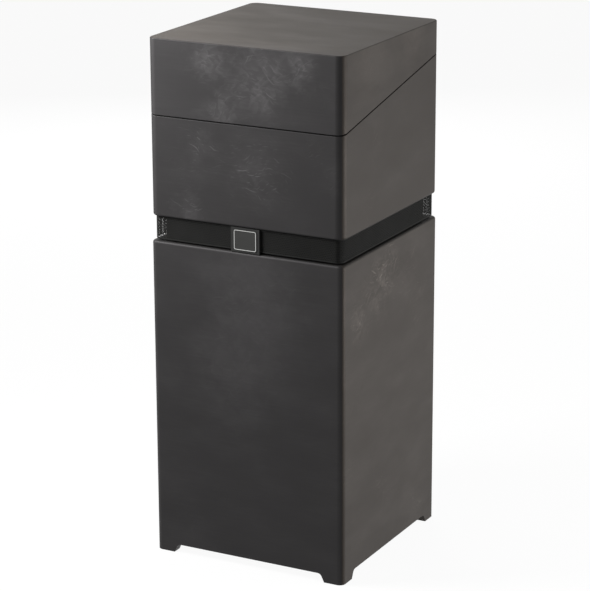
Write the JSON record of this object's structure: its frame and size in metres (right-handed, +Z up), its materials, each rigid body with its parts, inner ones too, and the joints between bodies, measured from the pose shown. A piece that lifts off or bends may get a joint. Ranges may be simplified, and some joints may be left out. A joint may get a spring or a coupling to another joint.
{
  "type": "omnidirectional speaker",
  "caption": "Square wooden column speaker on bracket legs, with a grilled band all round that sends sound every way and a sloping hinged lid over its controls.",
  "frame": {"origin": "on the floor under the middle of the cabinet", "axes": "+Z up, -Y the front with the badge, +X to the right as seen from the front"},
  "size_m": [0.34, 0.34, 0.848],
  "materials": {
    "stained_wood": "black-stained figured veneer under satin lacquer",
    "raw_board": "raw fibreboard",
    "grille_steel": "black powder coat on perforated sheet",
    "carrier_plastic": "fine-grained dark grey",
    "badge_metal": "blank, dark face with a bright rounded border",
    "foam": "open-cell black foam",
    "basket_steel": "black paint",
    "surround_rubber": "matt",
    "cone_paper": "pressed paper pulp",
    "coil_copper": "varnished copper wire",
    "spider_cloth": "impregnated cloth",
    "motor_steel": "zinc plated",
    "magnet_ferrite": "ground ferrite",
    "driver_plastic": "moulded black",
    "dome_cloth": "coated silk",
    "post_metal": "drawn tube",
    "panel_metal": "brushed, anodised dark grey",
    "knob_plastic": "moulded black with a pale pointer",
    "shaft_metal": "turned",
    "socket_metal": "plated",
    "board_laminate": "green solder mask",
    "standoff_brass": "turned",
    "transformer_tape": "wound yellow tape",
    "inlet_plastic": "moulded black",
    "rocker_plastic": "polished black",
    "hinge_brass": "dark lacquered",
    "bumper_felt": "black felt"
  },
  "bodies": {
    "cabinet": {"lower_front_panel": "stained_wood", "lower_right_panel": "stained_wood", "lower_rear_panel": "stained_wood", "lower_left_panel": "stained_wood", "upper_front_panel": "stained_wood", "upper_right_panel": "stained_wood", "upper_rear_panel": "stained_wood", "upper_left_panel": "stained_wood", "bottom_board": "raw_board", "baffle_board": "raw_board", "upper_floor": "raw_board", "baffle_cleats": "raw_board", "corner_blocks": "raw_board", "panel_cleats": "raw_board", "grille_front": "grille_steel", "grille_right": "grille_steel", "grille_rear": "grille_steel", "grille_left": "grille_steel", "badge_carrier": "carrier_plastic", "badge_plate": "badge_metal", "foam_sleeve": "foam", "woofer_basket": "basket_steel", "woofer_surround": "surround_rubber", "woofer_cone": "cone_paper", "woofer_voice_coil": "coil_copper", "woofer_spider": "spider_cloth", "woofer_top_plate": "motor_steel", "woofer_yoke": "motor_steel", "woofer_screws": "motor_steel", "tie_bolts": "motor_steel", "woofer_magnet": "magnet_ferrite", "tweeter_housing": "driver_plastic", "diffuser": "driver_plastic", "port_tube": "driver_plastic", "tweeter_dome": "dome_cloth", "spacer_posts": "post_metal", "control_panel": "panel_metal", "potentiometers": "shaft_metal", "input_sockets": "socket_metal", "amplifier_board": "board_laminate", "board_standoffs": "standoff_brass", "power_transformer": "transformer_tape", "mains_inlet": "inlet_plastic", "switch_frame": "inlet_plastic", "hinge_box_leaves": "hinge_brass", "hinge_pins": "hinge_brass", "lid_bumpers": "bumper_felt"},
    "lid": {"lid_front_panel": "stained_wood", "lid_right_panel": "stained_wood", "lid_rear_panel": "stained_wood", "lid_left_panel": "stained_wood", "lid_top_panel": "stained_wood", "hinge_lid_leaves": "hinge_brass"},
    "level_a_control": {"level_a_knob": "knob_plastic", "level_a_shaft": "shaft_metal"},
    "level_b_control": {"level_b_knob": "knob_plastic", "level_b_shaft": "shaft_metal"},
    "tone_control": {"tone_knob": "knob_plastic", "tone_shaft": "shaft_metal"},
    "rocker": {"power_rocker": "rocker_plastic"}
  },
  "joints": [
    {"name": "lid_hinge", "type": "hinge", "parent": "cabinet", "child": "lid", "pos_m": [0, 0.167, 0.79538], "axis": [-1, 0, 0], "range_deg": [0, 95]},
    {"name": "level_a_turn", "type": "hinge", "parent": "cabinet", "child": "level_a_control", "pos_m": [-0.062, 0.0333, 0.75386], "axis": [0, -0.2017, 0.9795], "range_deg": [-150, 150]},
    {"name": "level_b_turn", "type": "hinge", "parent": "cabinet", "child": "level_b_control", "pos_m": [0, 0.0333, 0.75386], "axis": [0, -0.2017, 0.9795], "range_deg": [-150, 150]},
    {"name": "tone_turn", "type": "hinge", "parent": "cabinet", "child": "tone_control", "pos_m": [0.062, 0.0333, 0.75386], "axis": [0, -0.2017, 0.9795], "range_deg": [-150, 150]},
    {"name": "rocker_tip", "type": "hinge", "parent": "cabinet", "child": "rocker", "pos_m": [-0.014, 0.1556, 0.612], "axis": [-1, 0, 0], "range_deg": [0, 16]}
  ]
}
